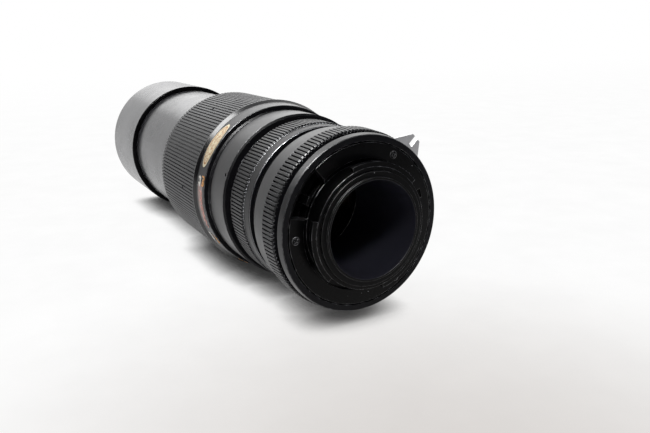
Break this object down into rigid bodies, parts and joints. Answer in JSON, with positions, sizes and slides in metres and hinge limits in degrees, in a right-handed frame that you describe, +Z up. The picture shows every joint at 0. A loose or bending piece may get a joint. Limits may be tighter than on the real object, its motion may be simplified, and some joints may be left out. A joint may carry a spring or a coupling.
{
  "type": "super telephoto lens",
  "caption": "Long black camera lens with bayonet mount, fluted aperture ring, meter prong, lock collar, rubber focus grip, extending barrel and sliding hood.",
  "frame": {"origin": "centre of the mount flange's back face, on the optical axis", "axes": "+Y along the optical axis towards the subject, +Z up, +X to the right as seen from the camera side"},
  "size_m": [0.074, 0.2262, 0.074],
  "materials": {
    "black_anodised": "black anodised, satin",
    "dull_black_metal": "dull black lacquer",
    "coated_glass": "polished, blue-violet coating",
    "spring_steel": "blued spring steel",
    "bare_aluminium": "turned, greased",
    "chromed_metal": "satin chromed",
    "brass": "turned, greased",
    "grip_rubber": "moulded ribs, satin",
    "felt": "black felt"
  },
  "bodies": {
    "barrel": {"bayonet_ring": "black_anodised", "back_plate": "black_anodised", "plate_screws": "dull_black_metal", "flange_ring": "black_anodised", "mount_body": "dull_black_metal", "baffle_tube": "dull_black_metal", "rear_cell": "dull_black_metal", "rear_element": "coated_glass", "rear_inner_element": "coated_glass", "rear_cell_ring": "dull_black_metal", "click_ball": "spring_steel", "click_spring": "spring_steel", "lever_retainer": "dull_black_metal", "lever_spring": "spring_steel", "main_barrel": "black_anodised", "neck_screws": "dull_black_metal", "guide_tube": "bare_aluminium", "helicoid_keys": "brass", "key_screws": "spring_steel", "iris_housing": "dull_black_metal", "iris_cover": "dull_black_metal"},
    "aperture_ring": {"aperture_ring": "black_anodised", "coupling_prong": "chromed_metal", "prong_screws": "chromed_metal"},
    "stop_down_lever": {"stop_down_lever": "black_anodised"},
    "lock_collar": {"lock_collar": "black_anodised"},
    "iris_drive": {"iris_drive_ring": "brass", "iris_rod": "spring_steel"},
    "focus_ring": {"focus_ring": "black_anodised", "focus_grip": "grip_rubber", "focus_helicoid": "brass", "focus_front_ring": "black_anodised"},
    "front_barrel": {"front_barrel": "black_anodised", "filter_ring": "black_anodised", "front_cell": "dull_black_metal", "front_element": "coated_glass", "second_element": "coated_glass", "third_element": "coated_glass", "element_spacer": "dull_black_metal", "front_retaining_ring": "dull_black_metal"},
    "hood": {"lens_hood": "black_anodised", "hood_felt": "felt"},
    "blade_1": {"iris_blade_1": "spring_steel"},
    "blade_2": {"iris_blade_2": "spring_steel"},
    "blade_3": {"iris_blade_3": "spring_steel"},
    "blade_4": {"iris_blade_4": "spring_steel"},
    "blade_5": {"iris_blade_5": "spring_steel"},
    "blade_6": {"iris_blade_6": "spring_steel"},
    "blade_7": {"iris_blade_7": "spring_steel"},
    "blade_8": {"iris_blade_8": "spring_steel"}
  },
  "joints": [
    {"name": "aperture_turn", "type": "hinge", "parent": "barrel", "child": "aperture_ring", "pos_m": [0, 0.014, 0], "axis": [0, 1, 0], "range_deg": [0, 60]},
    {"name": "lever_swing", "type": "hinge", "parent": "barrel", "child": "stop_down_lever", "pos_m": [0, 0.006, 0], "axis": [0, 1, 0], "range_deg": [0, 12], "stiffness_Nm_per_rad": 0.02},
    {"name": "collar_turn", "type": "hinge", "parent": "barrel", "child": "lock_collar", "pos_m": [0, 0.036, 0], "axis": [0, 1, 0], "range_deg": [0, 45]},
    {"name": "focus_turn", "type": "hinge", "parent": "barrel", "child": "focus_ring", "pos_m": [0, 0.09, 0], "axis": [0, 1, 0], "range_deg": [0, 270]},
    {"name": "barrel_slide", "type": "slide", "parent": "barrel", "child": "front_barrel", "axis": [0, 1, 0], "range_m": [0, 0.022]},
    {"name": "hood_slide", "type": "slide", "parent": "front_barrel", "child": "hood", "axis": [0, 1, 0], "range_m": [-0.031, 0]},
    {"name": "iris_drive_turn", "type": "hinge", "parent": "barrel", "child": "iris_drive", "pos_m": [0, 0.057, 0], "axis": [0, 1, 0], "range_deg": [0, 6.3]},
    {"name": "blade_1_swing", "type": "hinge", "parent": "barrel", "child": "blade_1", "pos_m": [0, 0.055, 0.0209], "axis": [0, 1, 0], "range_deg": [0, 37.5]},
    {"name": "blade_2_swing", "type": "hinge", "parent": "barrel", "child": "blade_2", "pos_m": [0.01478, 0.055, 0.01478], "axis": [0, 1, 0], "range_deg": [0, 37.5]},
    {"name": "blade_3_swing", "type": "hinge", "parent": "barrel", "child": "blade_3", "pos_m": [0.0209, 0.055, 0], "axis": [0, 1, 0], "range_deg": [0, 37.5]},
    {"name": "blade_4_swing", "type": "hinge", "parent": "barrel", "child": "blade_4", "pos_m": [0.01478, 0.055, -0.01478], "axis": [0, 1, 0], "range_deg": [0, 37.5]},
    {"name": "blade_5_swing", "type": "hinge", "parent": "barrel", "child": "blade_5", "pos_m": [0, 0.055, -0.0209], "axis": [0, 1, 0], "range_deg": [0, 37.5]},
    {"name": "blade_6_swing", "type": "hinge", "parent": "barrel", "child": "blade_6", "pos_m": [-0.01478, 0.055, -0.01478], "axis": [0, 1, 0], "range_deg": [0, 37.5]},
    {"name": "blade_7_swing", "type": "hinge", "parent": "barrel", "child": "blade_7", "pos_m": [-0.0209, 0.055, 0], "axis": [0, 1, 0], "range_deg": [0, 37.5]},
    {"name": "blade_8_swing", "type": "hinge", "parent": "barrel", "child": "blade_8", "pos_m": [-0.01478, 0.055, 0.01478], "axis": [0, 1, 0], "range_deg": [0, 37.5]}
  ],
  "couplings": [
    {"joint": "barrel_slide", "follows": "focus_turn", "m_per_rad": 0.0046685},
    {"joint": "iris_drive_turn", "follows": "aperture_turn", "ratio": 0.10317},
    {"joint": "blade_1_swing", "follows": "aperture_turn", "ratio": 0.61667},
    {"joint": "blade_2_swing", "follows": "aperture_turn", "ratio": 0.61667},
    {"joint": "blade_3_swing", "follows": "aperture_turn", "ratio": 0.61667},
    {"joint": "blade_4_swing", "follows": "aperture_turn", "ratio": 0.61667},
    {"joint": "blade_5_swing", "follows": "aperture_turn", "ratio": 0.61667},
    {"joint": "blade_6_swing", "follows": "aperture_turn", "ratio": 0.61667},
    {"joint": "blade_7_swing", "follows": "aperture_turn", "ratio": 0.61667},
    {"joint": "blade_8_swing", "follows": "aperture_turn", "ratio": 0.61667}
  ]
}
